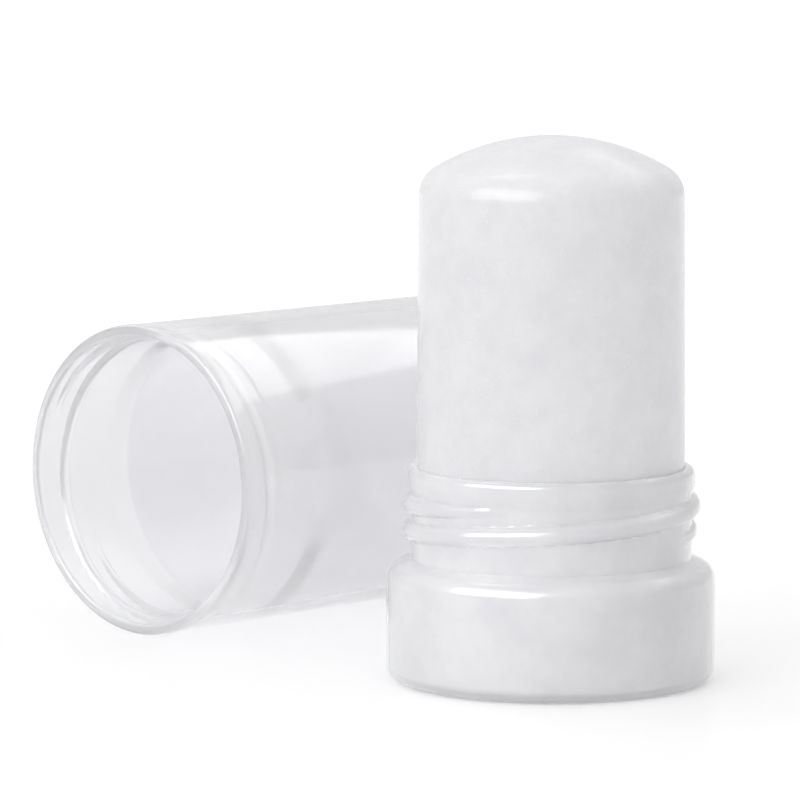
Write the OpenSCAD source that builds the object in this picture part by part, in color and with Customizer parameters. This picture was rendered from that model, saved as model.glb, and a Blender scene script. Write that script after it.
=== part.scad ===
// Mineral deodorant stick: an alum crystal cast into a threaded plastic base, with its screw cap off.
// Lengths are in millimetres and +Z is up. The origin is the middle of the base's underside.
// The cap lies on its side beside the base, with its mouth towards -Y.

/* [Crystal] */
// Diameter of the crystal where it leaves the rim
crystal_d = 36.6; // [30:0.1:50]
// Taper of the crystal's side, taken off its radius on the way up
crystal_draft = 0.2; // [0:0.05:1]
// Height of the crystal's top above the rim
crystal_h = 45.1; // [25:0.1:70]
// Radius of the domed crown
crown_r = 31; // [28:0.5:60]
// Rounding between the crown and the side
crown_fillet = 4.6; // [2:0.1:8]
// Gap that the casting leaves beside it as it cools
cast_gap = 0.05; // [0.02:0.01:0.2]

/* [Base] */
// Height of the neck's root, where the shoulder meets the neck
shoulder_z = 16.9; // [12:0.1:24]
// Rounding of the base's lower edge
heel_r = 2; // [1.6:0.1:3]
// Rounding between the base's side and its shoulder
shoulder_r = 2.4; // [1.8:0.1:2.4]
// Fall of the shoulder from the neck outwards, in degrees
shoulder_slope = 22; // [10:1:35]
// Wall of the base around the crystal's foot
base_wall = 1.2; // [0.8:0.1:1.5]
// Thickness of the base's floor
floor_t = 1.4; // [0.8:0.1:3]

/* [Neck] */
// Height of the neck from the shoulder to its rim
neck_h = 12.5; // [11.5:0.5:18]
// Wall of the neck between the ridges
neck_wall = 0.95; // [0.8:0.05:1.4]
// How far the rim's band stands out from the neck
band_t = 0.4; // [0.2:0.05:0.8]
// Height of the rim's band, with the slope under it
band_h = 3.9; // [2.6:0.1:5]
// Length of the slope under the rim's band
band_slope_h = 1.4; // [0.4:0.1:1.6]
// Rounding of the rim's outer edge
rim_r = 1; // [0.4:0.1:1.1]

/* [Thread] */
// Number of thread starts
thread_starts = 2; // [1:1:3]
// Distance between neighbouring ridges along the neck
thread_pitch = 3.6; // [3.2:0.1:5]
// How far a ridge stands out from the neck
ridge_h = 1.2; // [0.8:0.1:1.4]
// Width of a ridge at its root
ridge_w = 2.7; // [1.8:0.1:3]
// Height of the ridges' lower ends above the shoulder
ridge_from = 2.6; // [1.8:0.1:3.5]
// How far a ridge stands in from the cap's bore
cap_ridge_h = 0.8; // [0.5:0.1:1]
// Width of a ridge in the cap at its root
cap_ridge_w = 1.8; // [1.2:0.1:2]
// Clearance between the neck's ridges and the cap's bore
thread_clearance = 0.45; // [0.2:0.05:0.8]

/* [Cap] */
// Wall of the cap around its thread, which also sets the width of the base
cap_wall = 1.55; // [1.2:0.05:2.5]
// Clearance between the crystal's side and the cap
cap_side_room = 2.1; // [0.8:0.1:2.2]
// Clearance between the crystal's top and the cap
cap_head_room = 8.7; // [1:0.1:20]
// Clearance over the rim before the cap's bore narrows
cap_rim_room = 1; // [0.3:0.1:3]
// Length of the slope where the cap's bore narrows
cap_step_h = 3.8; // [1:0.1:6]
// Thickness of the cap's closed end
cap_end_t = 2; // [1.2:0.1:4]
// Rounding of the closed end's outer edge
cap_end_r = 4; // [2:0.1:6]
// Rounding of the mouth's lip
lip_r = 0.5; // [0.2:0.05:0.55]
// Gap between the sides of the base and of the cap that lies beside it
cap_apart = 23; // [5:0.5:60]
// How far the cap's mouth lies in front of the stick's axis
cap_forward = 12.8; // [-40:0.1:40]

/* [Hidden] */
$fn = 120;
// How deep the ridges are rooted in the wall that carries them
ROOT = 0.25;
// Angle over which a ridge grows at each end, and the share of its width that it begins with
RUN_IN = 50;
START_W = 0.6;
// Faces of a ridge along one turn, its faces across, and the share of its height that it begins with
NECK_MESH = [40, 6, 0.12];
CAP_MESH = [36, 6, 0.3];
// Turn of the thread about the stick, and how much later the second ridge begins
THREAD_TURN = 168;
LATER = 0.7;

crystal_r = crystal_d / 2;
bore_r = crystal_r + cast_gap;
neck_r = bore_r + neck_wall;
band_r = neck_r + band_t;
crest_r = neck_r + ridge_h;
cap_bore_r = crest_r + thread_clearance;
cap_r = cap_bore_r + cap_wall;
base_r = cap_r;
rim_z = shoulder_z + neck_h;
top_z = rim_z + crystal_h;

// The shoulder is an arc that runs into a straight slope up to the neck.
arc_r = base_r - shoulder_r;
arc_end = 90 - shoulder_slope;
arc_z = shoulder_z - slope_rise(shoulder_r, neck_r);

// The cap's lip lands on the shoulder, and its lengths are counted from there.
seat_z = shoulder_z - (cap_bore_r - neck_r) * tan(shoulder_slope);
cap_inner_r = crystal_r + cap_side_room;
cap_bore_h = rim_z - seat_z + cap_rim_room;
cap_room_h = top_z - seat_z + cap_head_room;
cap_len = cap_room_h + cap_end_t;
cap_inner_end_r = max(cap_end_r - cap_end_t, 0.4);

thread_lead = thread_starts * thread_pitch;
ridge_low_z = shoulder_z + ridge_from;
ridge_high_z = rim_z - band_h;
cap_x = -(base_r + cap_apart + cap_r);

// Height gained from the centre of the shoulder's arc to where its slope reaches a radius
function slope_rise(arc, radius) =
    arc * sin(arc_end) + (arc_r + arc * cos(arc_end) - radius) * tan(shoulder_slope);

// Points on an arc about [x, z], from one angle to another
function arc_points(x, z, radius, from, to, steps = 8) =
    [for (i = [0 : steps]) let (a = from + (to - from) * i / steps) [x + radius * cos(a), z + radius * sin(a)]];

// Half outline of the space in the base, drawn in by a gap, from its floor to its neck
function cavity_points(gap) =
    let (
        arc = shoulder_r - base_wall - gap,
        wall_r = base_r - base_wall - gap,
        corner = heel_r - base_wall,
        mouth_r = bore_r - gap
    )
    concat(
        [[0, floor_t]],
        arc_points(wall_r - corner, floor_t + corner, corner, -90, 0, 4),
        arc_points(arc_r, arc_z, arc, 0, arc_end, 4),
        [[mouth_r, arc_z + slope_rise(arc, mouth_r)]]
    );

// Points of a list from last to first
function backwards(points) = [for (i = [len(points) - 1 : -1 : 0]) points[i]];

// One ring of a ridge's section, half an oval rooted in the wall, at its angle and height
function ridge_ring(wall_r, side, height, width, angle, z, across) =
    let (
        tall = height + ROOT,
        root_w = width / sqrt(1 - pow(ROOT / tall, 2))
    )
    [for (i = [0 : across])
        let (a = 180 * i / across, r = wall_r + side * (tall * sin(a) - ROOT))
        [r * cos(angle), r * sin(angle), z - cos(a) * root_w / 2]];

// A right-hand ridge on a round wall: side is 1 outside the wall and -1 inside it
module ridge(wall_r, side, height, width, from_z, to_z, turn, mesh) {
    span = (to_z - from_z) / thread_lead * 360;
    steps = ceil(span / 360 * mesh[0]);
    count = mesh[1] + 1;
    rings = [for (i = [0 : steps])
        let (
            along = span * i / steps,
            near_end = min(along, span - along),
            grown = sin(min(near_end / RUN_IN, 1) * 90)
        )
        ridge_ring(
            wall_r, side, height * (mesh[2] + (1 - mesh[2]) * grown), width * (START_W + (1 - START_W) * grown),
            turn + along, from_z + thread_lead * along / 360, mesh[1]
        )];
    sides = [for (i = [0 : steps - 1]) for (j = [0 : count - 1])
        let (a = i * count + j, b = i * count + (j + 1) % count)
        each [[a, a + count, b], [b, a + count, b + count]]];
    first = [[for (j = [0 : count - 1]) j]];
    last = [[for (j = [count - 1 : -1 : 0]) steps * count + j]];
    faces = concat(sides, first, last);
    polyhedron(
        points = [for (ring = rings) each ring],
        faces = side < 0 ? faces : [for (f = faces) backwards(f)]
    );
}

// All the starts of a thread, each the same height apart
module thread(wall_r, side, height, width, low_z, high_z, turn, later, mesh) {
    for (i = [0 : thread_starts - 1]) {
        from_z = low_z + (i % 2) * later;
        at = turn + 360 * i / thread_starts + (from_z - low_z) / thread_lead * 360;
        ridge(wall_r, side, height, width, from_z, high_z, at, mesh);
    }
}

module base_cup() {
    color([0.88, 0.88, 0.9, 0.7]) union() {
        rotate_extrude() polygon(concat(
            [[0, 0]],
            arc_points(base_r - heel_r, heel_r, heel_r, -90, 0),
            arc_points(arc_r, arc_z, shoulder_r, 0, arc_end),
            [
                [neck_r, shoulder_z],
                [neck_r, rim_z - band_h],
                [band_r, rim_z - band_h + band_slope_h]
            ],
            arc_points(band_r - rim_r, rim_z - rim_r, rim_r, 0, 90, 6),
            [[bore_r, rim_z]],
            backwards(cavity_points(0))
        ));
        thread(neck_r, 1, ridge_h, ridge_w, ridge_low_z, ridge_high_z, THREAD_TURN, LATER, NECK_MESH);
    }
}

module crystal() {
    side_r = crystal_r - crystal_draft;
    fillet_x = side_r - crown_fillet;
    crown_z = top_z - crown_r;
    fillet_z = crown_z + sqrt(pow(crown_r - crown_fillet, 2) - pow(fillet_x, 2));
    join = atan2(fillet_z - crown_z, fillet_x);
    color([0.93, 0.93, 0.95, 0.8]) rotate_extrude() polygon(concat(
        cavity_points(cast_gap),
        [[crystal_r, rim_z]],
        arc_points(fillet_x, fillet_z, crown_fillet, 0, join),
        arc_points(0, crown_z, crown_r, join, 90, 12)
    ));
}

// The cap standing on its mouth, as it would sit on the base. Its ridges lie midway between the neck's.
module standing_cap() {
    union() {
        rotate_extrude() polygon(concat(
            arc_points(cap_r - lip_r, lip_r, lip_r, -90, 0, 4),
            arc_points(cap_r - cap_end_r, cap_len - cap_end_r, cap_end_r, 0, 90),
            [[0, cap_len], [0, cap_room_h]],
            backwards(arc_points(
                cap_inner_r - cap_inner_end_r, cap_room_h - cap_inner_end_r, cap_inner_end_r, 0, 90, 6
            )),
            [[cap_inner_r, cap_bore_h + cap_step_h], [cap_bore_r, cap_bore_h]],
            backwards(arc_points(cap_bore_r + lip_r, lip_r, lip_r, 180, 270, 4))
        ));
        thread(
            cap_bore_r, -1, cap_ridge_h, cap_ridge_w,
            ridge_low_z - seat_z - thread_pitch / 2 + LATER, ridge_high_z - seat_z - thread_pitch / 2 + LATER,
            THREAD_TURN + 360 * LATER / thread_lead, 0, CAP_MESH
        );
    }
}

module screw_cap() {
    color([0.9, 0.9, 0.92, 0.4])
        translate([cap_x, -cap_forward, cap_r]) rotate([-90, 0, 0]) standing_cap();
}

base_cup();
crystal();
screw_cap();
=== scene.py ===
import math

import bpy
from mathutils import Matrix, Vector


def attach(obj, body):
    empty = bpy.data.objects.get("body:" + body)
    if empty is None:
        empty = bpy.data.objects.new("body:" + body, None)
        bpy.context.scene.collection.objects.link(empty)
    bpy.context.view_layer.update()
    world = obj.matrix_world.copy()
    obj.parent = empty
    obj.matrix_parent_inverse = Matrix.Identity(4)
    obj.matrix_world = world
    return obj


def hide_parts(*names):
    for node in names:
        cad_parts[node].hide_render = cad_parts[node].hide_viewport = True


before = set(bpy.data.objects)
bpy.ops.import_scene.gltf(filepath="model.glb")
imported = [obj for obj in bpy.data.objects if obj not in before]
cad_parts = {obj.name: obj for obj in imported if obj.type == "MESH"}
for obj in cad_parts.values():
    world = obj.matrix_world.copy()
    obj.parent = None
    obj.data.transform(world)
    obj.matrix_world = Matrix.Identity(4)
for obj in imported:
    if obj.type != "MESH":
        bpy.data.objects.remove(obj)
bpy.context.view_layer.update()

# A mineral deodorant stick: an alum crystal in a milky threaded base, and its clear screw cap beside it.
# Sizes are in millimetres, and MM turns them into metres.
MM = 0.001

# The stick, from the foot up
BASE_R = 22.5
HEEL_R = 2.0
SHOULDER_R = 2.4
SHOULDER_SLOPE = 22
SHOULDER_Z = 16.9
BASE_WALL = 1.2
FLOOR_T = 1.4
NECK_R = 19.3
BORE_R = 18.35
BAND_R = 19.7
BAND_H = 3.9
BAND_SLOPE_H = 1.4
RIM_R = 1.0
RIM_Z = 29.4
CAST_GAP = 0.05
CRYSTAL_R = 18.3
CRYSTAL_DRAFT = 0.2
CROWN_R = 31.0
CROWN_FILLET = 4.6
TOP_Z = 74.5

# The thread: two starts of one right-hand helix, with the turn at which it begins and the second start's delay
STARTS = 2
THREAD_PITCH = 3.6
THREAD_LEAD = STARTS * THREAD_PITCH
THREAD_TURN = 168
LATER = 0.7

# A ridge grows over RUN_IN degrees at each end, from these shares of its height and its width.
# It is rooted in its wall, rounds off along the thread END_ROUNDING times as fast as across it, and fades
# into the wall over EDGE_SOFT. RUN_OUT is how many degrees past its ends it is looked for.
RUN_IN = 50
START_HEIGHT = 0.12
START_WIDTH = 0.6
ROOT = 0.25
END_ROUNDING = 4
EDGE_SOFT = 0.1
RUN_OUT = 60

# The ridges on the neck and in the cap
RIDGE_H = 1.2
RIDGE_W = 2.7
RIDGE_LOW_Z = 19.5
RIDGE_HIGH_Z = RIM_Z - BAND_H
CAP_RIDGE_H = 0.8
CAP_RIDGE_W = 1.8

# The cap, counted from its mouth, and where its mouth lies
CAP_R = 22.5
CAP_BORE_R = 20.95
CAP_INNER_R = 20.4
CAP_BORE_H = 14.17
CAP_STEP_H = 3.8
CAP_ROOM_H = 66.97
CAP_LEN = 68.97
CAP_END_R = 4.0
CAP_INNER_END_R = 2.0
LIP_R = 0.5
CAP_X = -68.0
CAP_Y = -12.8

# Mesh: faces around a turned piece, spacing of the rings that carry a ridge, and how near points count as one
AROUND = 192
RIDGE_RINGS = 0.15
SAME_POINT = 0.002
ON_WALL = 0.02
LEAST_WEIGHT = 0.001
SMOOTH_ANGLE = 35

# The shoulder is an arc that runs into a straight slope up to the neck.
ARC_R = BASE_R - SHOULDER_R
ARC_END = 90 - SHOULDER_SLOPE


def slope_rise(arc, radius):
    """Height gained from the centre of the shoulder's arc to where its slope reaches a radius."""
    at_arc_end = ARC_R + arc * math.cos(math.radians(ARC_END))
    return arc * math.sin(math.radians(ARC_END)) + (at_arc_end - radius) * math.tan(math.radians(SHOULDER_SLOPE))


# Height of the shoulder's arc, and of the place where the cap's lip would land on the slope
ARC_Z = SHOULDER_Z - slope_rise(SHOULDER_R, NECK_R)
SEAT_Z = SHOULDER_Z - (CAP_BORE_R - NECK_R) * math.tan(math.radians(SHOULDER_SLOPE))


def arc(x, z, radius, start, end, steps):
    """Points of an arc about (x, z), from one angle to another."""
    angles = [math.radians(start + (end - start) * i / steps) for i in range(steps + 1)]
    return [(x + radius * math.cos(a), z + radius * math.sin(a)) for a in angles]


def straight(start, end, step):
    """Points between two corners of an outline, both left out, about step apart."""
    count = max(1, round(math.dist(start, end) / step))
    return [
        (start[0] + (end[0] - start[0]) * i / count, start[1] + (end[1] - start[1]) * i / count)
        for i in range(1, count)
    ]


def cavity(gap):
    """Half outline of the space in the base, drawn in by a gap, from its floor to its neck."""
    round_r = SHOULDER_R - BASE_WALL - gap
    wall_r = BASE_R - BASE_WALL - gap
    corner = HEEL_R - BASE_WALL
    mouth_r = BORE_R - gap
    return (
        [(0, FLOOR_T)]
        + arc(wall_r - corner, FLOOR_T + corner, corner, -90, 0, 6)
        + arc(ARC_R, ARC_Z, round_r, 0, ARC_END, 6)
        + [(mouth_r, ARC_Z + slope_rise(round_r, mouth_r))]
    )


# Modelling


def nothing_selected():
    """Leaves object mode with nothing selected."""
    if bpy.context.object and bpy.context.object.mode != "OBJECT":
        bpy.ops.object.mode_set(mode="OBJECT")
    bpy.ops.object.select_all(action="DESELECT")


def only_selected(piece):
    """Selects one piece and makes it the active one."""
    nothing_selected()
    piece.select_set(True)
    bpy.context.view_layer.objects.active = piece


def turned(name, outline):
    """A solid turned about Z: one vertex is drawn along the half outline, and the line is spun."""
    nothing_selected()
    bpy.ops.mesh.primitive_plane_add(size=MM)
    piece = bpy.context.object
    piece.name = name
    piece.data.name = name
    bpy.ops.object.mode_set(mode="EDIT")
    bpy.ops.mesh.select_all(action="SELECT")
    bpy.ops.mesh.merge(type="CENTER")
    bpy.ops.transform.translate(value=(outline[0][0] * MM, 0, outline[0][1] * MM))
    for (r0, z0), (r1, z1) in zip(outline, outline[1:]):
        move = {"value": ((r1 - r0) * MM, 0, (z1 - z0) * MM)}
        bpy.ops.mesh.extrude_vertices_move(TRANSFORM_OT_translate=move)
    bpy.ops.mesh.select_all(action="SELECT")
    bpy.ops.mesh.spin(steps=AROUND, angle=math.tau, center=(0, 0, 0), axis=(0, 0, 1))
    bpy.ops.mesh.select_all(action="SELECT")
    bpy.ops.mesh.remove_doubles(threshold=SAME_POINT * MM)
    bpy.ops.mesh.normals_make_consistent(inside=False)
    bpy.ops.object.mode_set(mode="OBJECT")
    return piece


def ridge_height(angle, z, low_z, high_z, turn, later, height, width):
    """How far the thread stands off its wall at a place, as a share of its full height."""
    best = 0.0
    for start in range(STARTS):
        from_z = low_z + start % 2 * later
        first = turn + 360 * start / STARTS + (from_z - low_z) / THREAD_LEAD * 360
        span = (high_z - from_z) / THREAD_LEAD * 360
        along = (angle - first + RUN_OUT) % 360 - RUN_OUT
        while along < span + RUN_OUT:
            inside = min(max(along, 0), span)
            grown = math.sin(math.radians(min(min(inside, span - inside) / RUN_IN, 1) * 90))
            tall = height * (START_HEIGHT + (1 - START_HEIGHT) * grown) + ROOT
            full = width * (START_WIDTH + (1 - START_WIDTH) * grown)
            half = full / 2 / math.sqrt(1 - (ROOT / tall) ** 2)
            past = max(-along, along - span, 0) / 360 * THREAD_LEAD * END_ROUNDING
            off = math.hypot(z - from_z - THREAD_LEAD * along / 360, past) / half
            above = tall * math.sqrt(max(0, 1 - off * off)) - ROOT
            soft = (above + math.hypot(above, EDGE_SOFT)) / 2 - (math.hypot(ROOT, EDGE_SOFT) - ROOT) / 2
            best = max(best, soft / height)
            along += 360
    return min(best, 1)


def raise_ridges(piece, wall_r, height, low_z, high_z, share):
    """Presses the thread out of a wall: its height is painted on the wall's vertices, then displaced."""
    group = piece.vertex_groups.new(name="thread")
    for vertex in piece.data.vertices:
        x, y, z = (c / MM for c in vertex.co)
        if abs(math.hypot(x, y) - wall_r) > ON_WALL or not low_z <= z <= high_z:
            continue
        weight = share(math.degrees(math.atan2(y, x)), z)
        if weight > LEAST_WEIGHT:
            group.add([vertex.index], weight, "REPLACE")
    displace = piece.modifiers.new("thread", "DISPLACE")
    displace.vertex_group = "thread"
    displace.strength = height * MM
    displace.mid_level = 0
    displace.direction = "NORMAL"
    bpy.context.view_layer.objects.active = piece
    bpy.ops.object.modifier_apply(modifier=displace.name)


def finish_piece(piece, node, material):
    """Smooths a piece, gives it its material and puts it in the place of its CAD node."""
    only_selected(piece)
    bpy.ops.object.shade_smooth_by_angle(angle=math.radians(SMOOTH_ANGLE))
    piece.vertex_groups.clear()
    piece.data.materials.clear()
    piece.data.materials.append(material)
    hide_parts(node)
    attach(piece, "root")


# Node helpers


def new_material(name):
    """A material with an empty tree, its Principled shader and its output."""
    material = bpy.data.materials.new(name)
    material.use_nodes = True
    tree = material.node_tree
    tree.nodes.clear()
    output = tree.nodes.new("ShaderNodeOutputMaterial")
    shader = tree.nodes.new("ShaderNodeBsdfPrincipled")
    tree.links.new(shader.outputs["BSDF"], output.inputs["Surface"])
    return material, tree, shader


def let_lamps_through(tree, shader, tint):
    """Lamps and the room's light reach what is behind the plastic, dimmed at each surface by a tint."""
    output = next(n for n in tree.nodes if n.type == "OUTPUT_MATERIAL")
    path = tree.nodes.new("ShaderNodeLightPath")
    clear = tree.nodes.new("ShaderNodeBsdfTransparent")
    clear.inputs["Color"].default_value = (tint, tint, tint, 1)
    mix = tree.nodes.new("ShaderNodeMixShader")
    tree.links.new(path.outputs["Is Shadow Ray"], mix.inputs[0])
    tree.links.new(shader.outputs["BSDF"], mix.inputs[1])
    tree.links.new(clear.outputs["BSDF"], mix.inputs[2])
    tree.links.new(mix.outputs["Shader"], output.inputs["Surface"])


def set_inputs(node, values):
    """Even values set on a node's own sockets."""
    for name, value in values.items():
        node.inputs[name].default_value = value


def put(tree, kind, **values):
    """A node with its properties and plain inputs set by name; a space in an input's name is written _ ."""
    node = tree.nodes.new(kind)
    for key, value in values.items():
        if hasattr(node, key):
            setattr(node, key, value)
        else:
            node.inputs[key.replace("_", " ")].default_value = value
    return node


def math_node(tree, operation, a, b):
    """A Math node on two values, each a socket or a number."""
    node = put(tree, "ShaderNodeMath", operation=operation)
    for index, value in enumerate((a, b)):
        if isinstance(value, (int, float)):
            node.inputs[index].default_value = value
        else:
            tree.links.new(value, node.inputs[index])
    return node.outputs[0]


def noise(tree, vector, scale, detail, roughness):
    """A noise pattern's value on a vector."""
    node = put(tree, "ShaderNodeTexNoise", Scale=scale, Detail=detail, Roughness=roughness)
    tree.links.new(vector, node.inputs["Vector"])
    return node.outputs["Fac"]


def remap(tree, value, low, high, to_low=0.0, to_high=1.0, smooth=True):
    """A value stretched from one range to another and held at its ends."""
    node = put(tree, "ShaderNodeMapRange", clamp=True)
    node.interpolation_type = "SMOOTHSTEP" if smooth else "LINEAR"
    tree.links.new(value, node.inputs["Value"])
    set_inputs(node, {"From Min": low, "From Max": high, "To Min": to_low, "To Max": to_high})
    return node.outputs["Result"]


def mix_colour(tree, factor, a, b):
    """A colour between two, each a socket or four numbers."""
    node = tree.nodes.new("ShaderNodeMix")
    node.data_type = "RGBA"
    for socket, value in ((node.inputs[0], factor), (node.inputs[6], a), (node.inputs[7], b)):
        if isinstance(value, tuple):
            socket.default_value = value
        else:
            tree.links.new(value, socket)
    return node.outputs[2]


def seen_rays(tree, through=1.0):
    """1 for rays from the camera or off a reflection, and a given strength for rays through the plastic."""
    path = tree.nodes.new("ShaderNodeLightPath")
    direct = math_node(tree, "MAXIMUM", path.outputs["Is Camera Ray"], path.outputs["Is Glossy Ray"])
    behind = math_node(tree, "MULTIPLY", path.outputs["Is Transmission Ray"], through)
    return math_node(tree, "MAXIMUM", direct, behind)


def group_with(name, inputs, outputs):
    """A shader node group with named sockets, and its input and output nodes."""
    group = bpy.data.node_groups.new(name, "ShaderNodeTree")
    for socket, kind, default in inputs:
        item = group.interface.new_socket(socket, in_out="INPUT", socket_type=kind)
        if default is not None:
            item.default_value = default
    for socket, kind in outputs:
        group.interface.new_socket(socket, in_out="OUTPUT", socket_type=kind)
    return group, group.nodes.new("NodeGroupInput"), group.nodes.new("NodeGroupOutput")


def use_group(tree, group, vector, **values):
    """A group placed in a material on a vector, with its own values."""
    node = tree.nodes.new("ShaderNodeGroup")
    node.node_tree = group
    tree.links.new(vector, node.inputs["Vector"])
    for key, value in values.items():
        node.inputs[key.replace("_", " ")].default_value = value
    return node


# Effects that several materials use


def build_cloud_group():
    """Cloudiness of cast alum: soft clouds with finer grain in them, and sparse swarms of tiny bubbles."""
    group, given, result = group_with(
        "cast cloud",
        [("Vector", "NodeSocketVector", None), ("Cloud Scale", "NodeSocketFloat", 90.0),
         ("Bubble Scale", "NodeSocketFloat", 900.0), ("Bubble Share", "NodeSocketFloat", 0.5)],
        [("Cloud", "NodeSocketFloat"), ("Bubbles", "NodeSocketFloat")],
    )
    links = group.links
    clouds = put(group, "ShaderNodeTexNoise", Detail=8, Roughness=0.66)
    links.new(given.outputs["Vector"], clouds.inputs["Vector"])
    links.new(given.outputs["Cloud Scale"], clouds.inputs["Scale"])
    links.new(remap(group, clouds.outputs["Fac"], 0.25, 0.78), result.inputs["Cloud"])

    # A bubble is a dot in a cell. A quarter of the cells have one, and only where the swarm is dense.
    cells = put(group, "ShaderNodeTexVoronoi", feature="F1", Randomness=1)
    links.new(given.outputs["Vector"], cells.inputs["Vector"])
    links.new(given.outputs["Bubble Scale"], cells.inputs["Scale"])
    dots = remap(group, cells.outputs["Distance"], 0.32, 0.12)
    chosen = group.nodes.new("ShaderNodeSeparateColor")
    links.new(cells.outputs["Color"], chosen.inputs[0])
    few = math_node(group, "LESS_THAN", chosen.outputs[0], 0.25)
    swarm = noise(group, given.outputs["Vector"], 150, detail=3, roughness=0.6)
    share = math_node(group, "SUBTRACT", 1.0, given.outputs["Bubble Share"])
    dense = remap(group, math_node(group, "SUBTRACT", swarm, share), 0.0, 0.4)
    shown = math_node(group, "MULTIPLY", math_node(group, "MULTIPLY", dots, few), dense)
    links.new(shown, result.inputs["Bubbles"])
    return group


def build_waviness_group():
    """Slight waves of a moulded wall, as a normal."""
    group, given, result = group_with(
        "moulded waves",
        [("Vector", "NodeSocketVector", None), ("Scale", "NodeSocketFloat", 60.0),
         ("Strength", "NodeSocketFloat", 0.2), ("Distance", "NodeSocketFloat", 0.001)],
        [("Normal", "NodeSocketVector")],
    )
    links = group.links
    waves = put(group, "ShaderNodeTexNoise", Detail=2, Roughness=0.4)
    links.new(given.outputs["Vector"], waves.inputs["Vector"])
    links.new(given.outputs["Scale"], waves.inputs["Scale"])
    bump = group.nodes.new("ShaderNodeBump")
    links.new(waves.outputs["Fac"], bump.inputs["Height"])
    links.new(given.outputs["Strength"], bump.inputs["Strength"])
    links.new(given.outputs["Distance"], bump.inputs["Distance"])
    links.new(bump.outputs["Normal"], result.inputs["Normal"])
    return group


CLOUD = build_cloud_group()
WAVES = build_waviness_group()


# Materials

ALUM_GREY = (0.84, 0.838, 0.865, 1)
ALUM_PALE = (0.905, 0.904, 0.92, 1)
BUBBLE_WHITE = (1.0, 1.0, 1.0, 1)
MILK = (0.96, 0.959, 0.975, 1)
MILK_PALE = (0.99, 0.989, 1.0, 1)
CLOUD_BEHIND_MILK = (0.89, 0.889, 0.915, 1)
HAZE = (0.97, 0.969, 0.985, 1)
HAZE_PALE = (0.99, 0.989, 1.0, 1)
# Painted shade for the inner wall of the cap's chamber, deep behind the step
CHAMBER_PAINTED_SHADE = (0.9, 0.899, 0.925, 1)

# The cap's inner wall begins between these two depths under its outside, and the painted shade of its chamber
# sets in between these two distances before and after the end of the step.
INNER_WALL = (0.4, 0.9)
SHADE_BEFORE_STEP_END = 0.7
SHADE_AFTER_STEP_END = 0.1


def object_place(tree):
    """The place on the piece, in the coordinates that the whole object shares."""
    return tree.nodes.new("ShaderNodeTexCoord").outputs["Object"]


def alum_material():
    """Cast alum: greyish white, cloudy inside, with a smooth worn skin."""
    material, tree, shader = new_material("alum")
    place = object_place(tree)
    cloud = use_group(tree, CLOUD, place, Cloud_Scale=190, Bubble_Scale=2000, Bubble_Share=0.72)
    colour = mix_colour(tree, cloud.outputs["Cloud"], ALUM_GREY, ALUM_PALE)
    colour = mix_colour(tree, cloud.outputs["Bubbles"], colour, BUBBLE_WHITE)
    tree.links.new(colour, shader.inputs["Base Color"])
    skin = noise(tree, place, 600, detail=4, roughness=0.65)
    tree.links.new(remap(tree, skin, 0.3, 0.75, 0.16, 0.25), shader.inputs["Roughness"])
    bump = put(tree, "ShaderNodeBump", Strength=0.3, Distance=0.0002)
    height = math_node(tree, "ADD", skin, cloud.outputs["Bubbles"])
    tree.links.new(height, bump.inputs["Height"])
    tree.links.new(bump.outputs["Normal"], shader.inputs["Normal"])
    set_inputs(shader, {
        "IOR": 1.456,
        "Specular IOR Level": 0.3,
        "Subsurface Weight": 0.35,
        "Subsurface Radius": (1.0, 1.0, 1.1),
        "Subsurface Scale": 0.006,
    })
    return material


def milky_material():
    """Natural polypropylene: milky, with the crystal's cloud faintly behind it."""
    material, tree, shader = new_material("milky plastic")
    place = object_place(tree)
    flow = noise(tree, place, 45, detail=4, roughness=0.55)
    colour = mix_colour(tree, flow, MILK, MILK_PALE)
    cloud = use_group(tree, CLOUD, place, Cloud_Scale=110)
    behind = remap(tree, cloud.outputs["Cloud"], 0.1, 0.9, 0.8, 0.0)
    colour = mix_colour(tree, behind, colour, CLOUD_BEHIND_MILK)
    tree.links.new(colour, shader.inputs["Base Color"])
    tree.links.new(remap(tree, flow, 0.3, 0.7, 0.16, 0.25), shader.inputs["Roughness"])
    waves = use_group(tree, WAVES, place, Scale=70, Strength=0.12, Distance=0.0006)
    tree.links.new(waves.outputs["Normal"], shader.inputs["Normal"])
    set_inputs(shader, {
        "IOR": 1.49,
        "Transmission Weight": 0.38,
        "Coat Weight": 0.9,
        "Coat Roughness": 0.16,
        "Coat IOR": 1.6,
    })
    let_lamps_through(tree, shader, 0.97)
    return material


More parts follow.
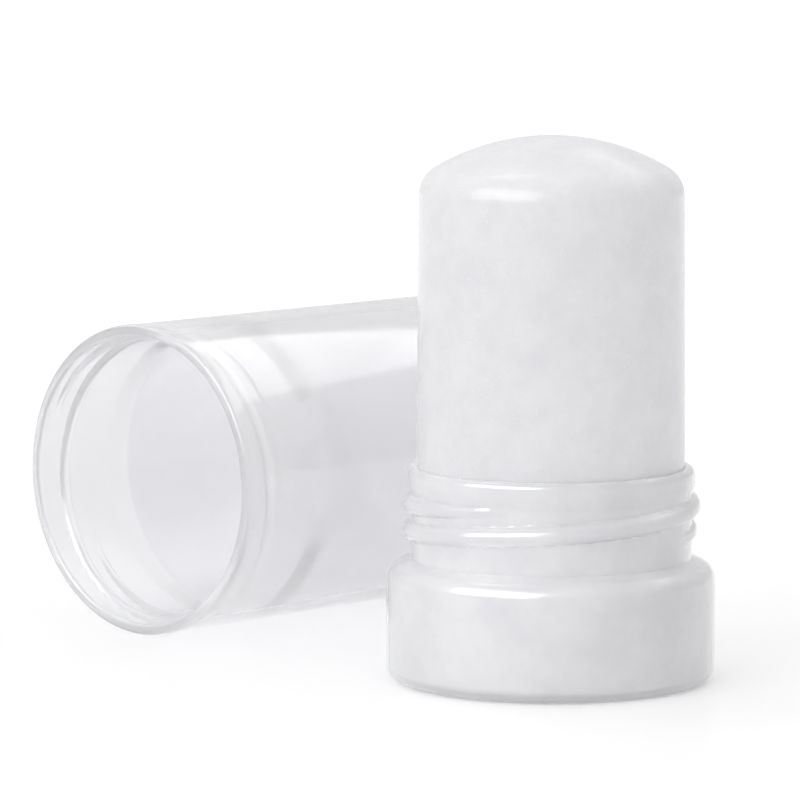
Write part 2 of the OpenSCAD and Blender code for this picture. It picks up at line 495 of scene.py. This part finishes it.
def clear_material():
    """Nearly clear polypropylene: hazy, with faint streaks along the cap, a polished bore at its mouth, and
    painted shade on the inner wall of its chamber.
    """
    material, tree, shader = new_material("clear plastic")
    centred = put(tree, "ShaderNodeMapping", Location=(-CAP_X * MM, -CAP_Y * MM, -CAP_R * MM))
    tree.links.new(object_place(tree), centred.inputs["Vector"])
    streaked = put(tree, "ShaderNodeMapping", Scale=(1, 0.25, 1))
    tree.links.new(centred.outputs["Vector"], streaked.inputs["Vector"])

    # Masks of the chamber behind the step and of the bore before it, from the radius and the depth
    across = put(tree, "ShaderNodeVectorMath", operation="MULTIPLY")
    across.inputs[1].default_value = (1, 0, 1)
    tree.links.new(centred.outputs["Vector"], across.inputs[0])
    radius = put(tree, "ShaderNodeVectorMath", operation="LENGTH")
    tree.links.new(across.outputs["Vector"], radius.inputs[0])
    depth = tree.nodes.new("ShaderNodeSeparateXYZ")
    tree.links.new(centred.outputs["Vector"], depth.inputs["Vector"])
    within = remap(tree, radius.outputs["Value"], *((CAP_R - under) * MM for under in INNER_WALL))
    step_end = CAP_BORE_H + CAP_STEP_H
    past_step = remap(
        tree, depth.outputs["Y"], (step_end - SHADE_BEFORE_STEP_END) * MM, (step_end + SHADE_AFTER_STEP_END) * MM
    )
    chamber = math_node(tree, "MULTIPLY", within, past_step)
    bore = math_node(tree, "SUBTRACT", within, chamber)

    haze = noise(tree, streaked.outputs["Vector"], 60, detail=4, roughness=0.6)
    colour = mix_colour(tree, haze, HAZE, HAZE_PALE)
    # Painted shade: the chamber's inner wall is darkened, standing in for the shade deep inside the cap
    colour = mix_colour(tree, chamber, colour, CHAMBER_PAINTED_SHADE)
    tree.links.new(colour, shader.inputs["Base Color"])
    rough = remap(tree, haze, 0.3, 0.7, 0.07, 0.15)
    rough = math_node(tree, "MULTIPLY", rough, remap(tree, bore, 0, 1, 1.0, 0.5))
    tree.links.new(rough, shader.inputs["Roughness"])
    waves = use_group(tree, WAVES, streaked.outputs["Vector"], Scale=70, Strength=0.3, Distance=0.0015)
    tree.links.new(waves.outputs["Normal"], shader.inputs["Normal"])
    set_inputs(shader, {
        "IOR": 1.49,
        "Transmission Weight": 0.6,
        "Coat Weight": 0.6,
        "Coat Roughness": 0.05,
    })
    let_lamps_through(tree, shader, 0.96)
    return material


ALUM = alum_material()
MILKY = milky_material()
CLEAR = clear_material()


# The base

neck_foot = (NECK_R, SHOULDER_Z)
neck_top = (NECK_R, RIDGE_HIGH_Z)
band_foot = (BAND_R, RIDGE_HIGH_Z + BAND_SLOPE_H)
outside = (
    [(0, 0)]
    + arc(BASE_R - HEEL_R, HEEL_R, HEEL_R, -90, 0, 10)
    + arc(ARC_R, ARC_Z, SHOULDER_R, 0, ARC_END, 12)
    + [neck_foot]
    + straight(neck_foot, neck_top, RIDGE_RINGS)
    + [neck_top]
    + straight(neck_top, band_foot, 0.3)
    + [band_foot]
    + arc(BAND_R - RIM_R, RIM_Z - RIM_R, RIM_R, 0, 90, 8)
    + [(BORE_R, RIM_Z)]
)
base = turned("stick_base", outside + cavity(0)[::-1])
raise_ridges(
    base, NECK_R, RIDGE_H, SHOULDER_Z + 0.3, RIDGE_HIGH_Z + BAND_SLOPE_H,
    lambda angle, z: ridge_height(
        angle, z, RIDGE_LOW_Z, RIDGE_HIGH_Z, THREAD_TURN, LATER, RIDGE_H, RIDGE_W
    ),
)
finish_piece(base, "base_cup", MILKY)


# The crystal

side_r = CRYSTAL_R - CRYSTAL_DRAFT
fillet_x = side_r - CROWN_FILLET
crown_z = TOP_Z - CROWN_R
fillet_z = crown_z + math.sqrt((CROWN_R - CROWN_FILLET) ** 2 - fillet_x**2)
join = math.degrees(math.atan2(fillet_z - crown_z, fillet_x))
body = (
    cavity(CAST_GAP)
    + [(CRYSTAL_R, RIM_Z)]
    + straight((CRYSTAL_R, RIM_Z), (side_r, fillet_z), 1.5)
    + arc(fillet_x, fillet_z, CROWN_FILLET, 0, join, 12)
    + arc(0, crown_z, CROWN_R, join, 90, 16)[1:]
)
crystal = turned("alum_crystal", body)
finish_piece(crystal, "crystal", ALUM)


# The cap, turned standing on its mouth and then laid on its side

step_top = (CAP_INNER_R, CAP_BORE_H + CAP_STEP_H)
bore_top = (CAP_BORE_R, CAP_BORE_H)
inner_end_z = CAP_ROOM_H - CAP_INNER_END_R
shell = (
    [(0, CAP_ROOM_H)]
    + arc(CAP_INNER_R - CAP_INNER_END_R, inner_end_z, CAP_INNER_END_R, 90, 0, 8)
    + straight((CAP_INNER_R, inner_end_z), step_top, 2)
    + [step_top]
    + straight(step_top, bore_top, 0.5)
    + [bore_top]
    + straight(bore_top, (CAP_BORE_R, LIP_R), RIDGE_RINGS)
    + arc(CAP_BORE_R + LIP_R, LIP_R, LIP_R, 180, 270, 6)
    + arc(CAP_R - LIP_R, LIP_R, LIP_R, -90, 0, 6)
    + straight((CAP_R, LIP_R), (CAP_R, CAP_LEN - CAP_END_R), 2)
    + arc(CAP_R - CAP_END_R, CAP_LEN - CAP_END_R, CAP_END_R, 0, 90, 10)
    + [(0, CAP_LEN)]
)
cap = turned("clear_cap", shell)

# Its ridges lie midway between the neck's when it is screwed on.
cap_low = RIDGE_LOW_Z - SEAT_Z - THREAD_PITCH / 2 + LATER
cap_high = RIDGE_HIGH_Z - SEAT_Z - THREAD_PITCH / 2 + LATER
cap_turn = THREAD_TURN + 360 * LATER / THREAD_LEAD
raise_ridges(
    cap, CAP_BORE_R, CAP_RIDGE_H, LIP_R, CAP_BORE_H - 0.3,
    lambda angle, z: ridge_height(angle, z, cap_low, cap_high, cap_turn, 0, CAP_RIDGE_H, CAP_RIDGE_W),
)
only_selected(cap)
cap.rotation_euler = (math.radians(-90), 0, 0)
cap.location = (CAP_X * MM, CAP_Y * MM, CAP_R * MM)
bpy.ops.object.transform_apply(location=True, rotation=True, scale=True)
finish_piece(cap, "screw_cap", CLEAR)


# Floor, light and camera. Their distances are in metres, and the lamps' powers in watts.

FLOOR_RADIUS = 3
FLOOR_Z = -0.00002
FLOOR_GLOW = 0.28
FAR_GLOW = 0.5
GLOW_NEAR = 0.15
GLOW_FAR = 0.8
BEHIND_PLASTIC = 1.8
ROOM_LIGHT = 0.98
LAMP_AIM = Vector((0, 0, 0.035))

AZIMUTH = 43
LOOK_DOWN = 6.5
CAMERA_PLACE = (0.43767, -0.49952, 0.114)
LENS = 220.5
SENSOR = 36

# The camera looks at the stick from the right front.
forward = Vector((-math.sin(math.radians(AZIMUTH)), math.cos(math.radians(AZIMUTH)), 0))
right = Vector((math.cos(math.radians(AZIMUTH)), math.sin(math.radians(AZIMUTH)), 0))
up = Vector((0, 0, 1))


def toward(side, height, nearer):
    """A direction from the stick, given as shares to the picture's right, up, and towards the camera."""
    return (right * side + up * height - forward * nearer).normalized()


def floor_material():
    """White acrylic: it keeps soft shadows and a faint reflection, and its open part is plain white."""
    material, tree, shader = new_material("pale floor")
    set_inputs(shader, {
        "Base Color": (0.8, 0.8, 0.805, 1),
        "Roughness": 0.25,
        "IOR": 1.08,
        "Emission Color": (1, 1, 1, 1),
    })
    away = put(tree, "ShaderNodeVectorMath", operation="LENGTH")
    tree.links.new(object_place(tree), away.inputs[0])
    glow = remap(tree, away.outputs["Value"], GLOW_NEAR, GLOW_FAR, FLOOR_GLOW, FAR_GLOW)
    seen = seen_rays(tree, BEHIND_PLASTIC)
    tree.links.new(math_node(tree, "MULTIPLY", seen, glow), shader.inputs["Emission Strength"])
    return material


nothing_selected()
bpy.ops.mesh.primitive_circle_add(
    vertices=128, radius=FLOOR_RADIUS, fill_type="NGON", location=(0, 0, FLOOR_Z)
)
floor = bpy.context.object
floor.name = "floor"
floor.data.materials.append(floor_material())

# A white room: it is plain white where it is seen, and lights the object a little less.
world = bpy.data.worlds.new("white room")
bpy.context.scene.world = world
world.use_nodes = True
sky = world.node_tree
sky.nodes.clear()
glow = sky.nodes.new("ShaderNodeBackground")
strength = remap(sky, seen_rays(sky), 0, 1, ROOM_LIGHT, 1.0, smooth=False)
sky.links.new(strength, glow.inputs["Strength"])
sky.links.new(glow.outputs["Background"], sky.nodes.new("ShaderNodeOutputWorld").inputs["Surface"])


def soft_box(name, direction, distance, size, power, highlights_only=False):
    """A rectangular soft lamp that faces the stick, or a panel that is only seen in its highlights."""
    bpy.ops.object.light_add(type="AREA", location=LAMP_AIM + direction * distance)
    lamp = bpy.context.object
    lamp.name = name
    lamp.rotation_euler = (-direction).to_track_quat("-Z", "Y").to_euler()
    lamp.data.shape = "RECTANGLE"
    lamp.data.size, lamp.data.size_y = size
    lamp.data.energy = power
    if highlights_only:
        lamp.visible_diffuse = False


soft_box("left soft box", toward(-0.6, 0.5, 0.63), 0.9, (0.65, 0.3), 1.5)
soft_box("top soft box", toward(-0.24, 0.86, -0.26), 0.8, (0.28, 0.16), 0.4)
soft_box("left panel", toward(-0.62, 0.52, 0.66), 0.88, (1.0, 0.6), 8.0, highlights_only=True)
soft_box("back strip", toward(0.51, 0.72, -0.52), 0.9, (0.9, 0.12), 0.4, highlights_only=True)

bpy.ops.object.camera_add()
camera = bpy.context.object
camera.data.lens = LENS
camera.data.sensor_width = SENSOR
camera.data.clip_start = 0.01
camera.location = CAMERA_PLACE
look = forward * math.cos(math.radians(LOOK_DOWN)) - up * math.sin(math.radians(LOOK_DOWN))
camera.rotation_euler = look.to_track_quat("-Z", "Y").to_euler()
bpy.context.scene.camera = camera

bpy.context.scene.view_settings.view_transform = "Standard"

nothing_selected()
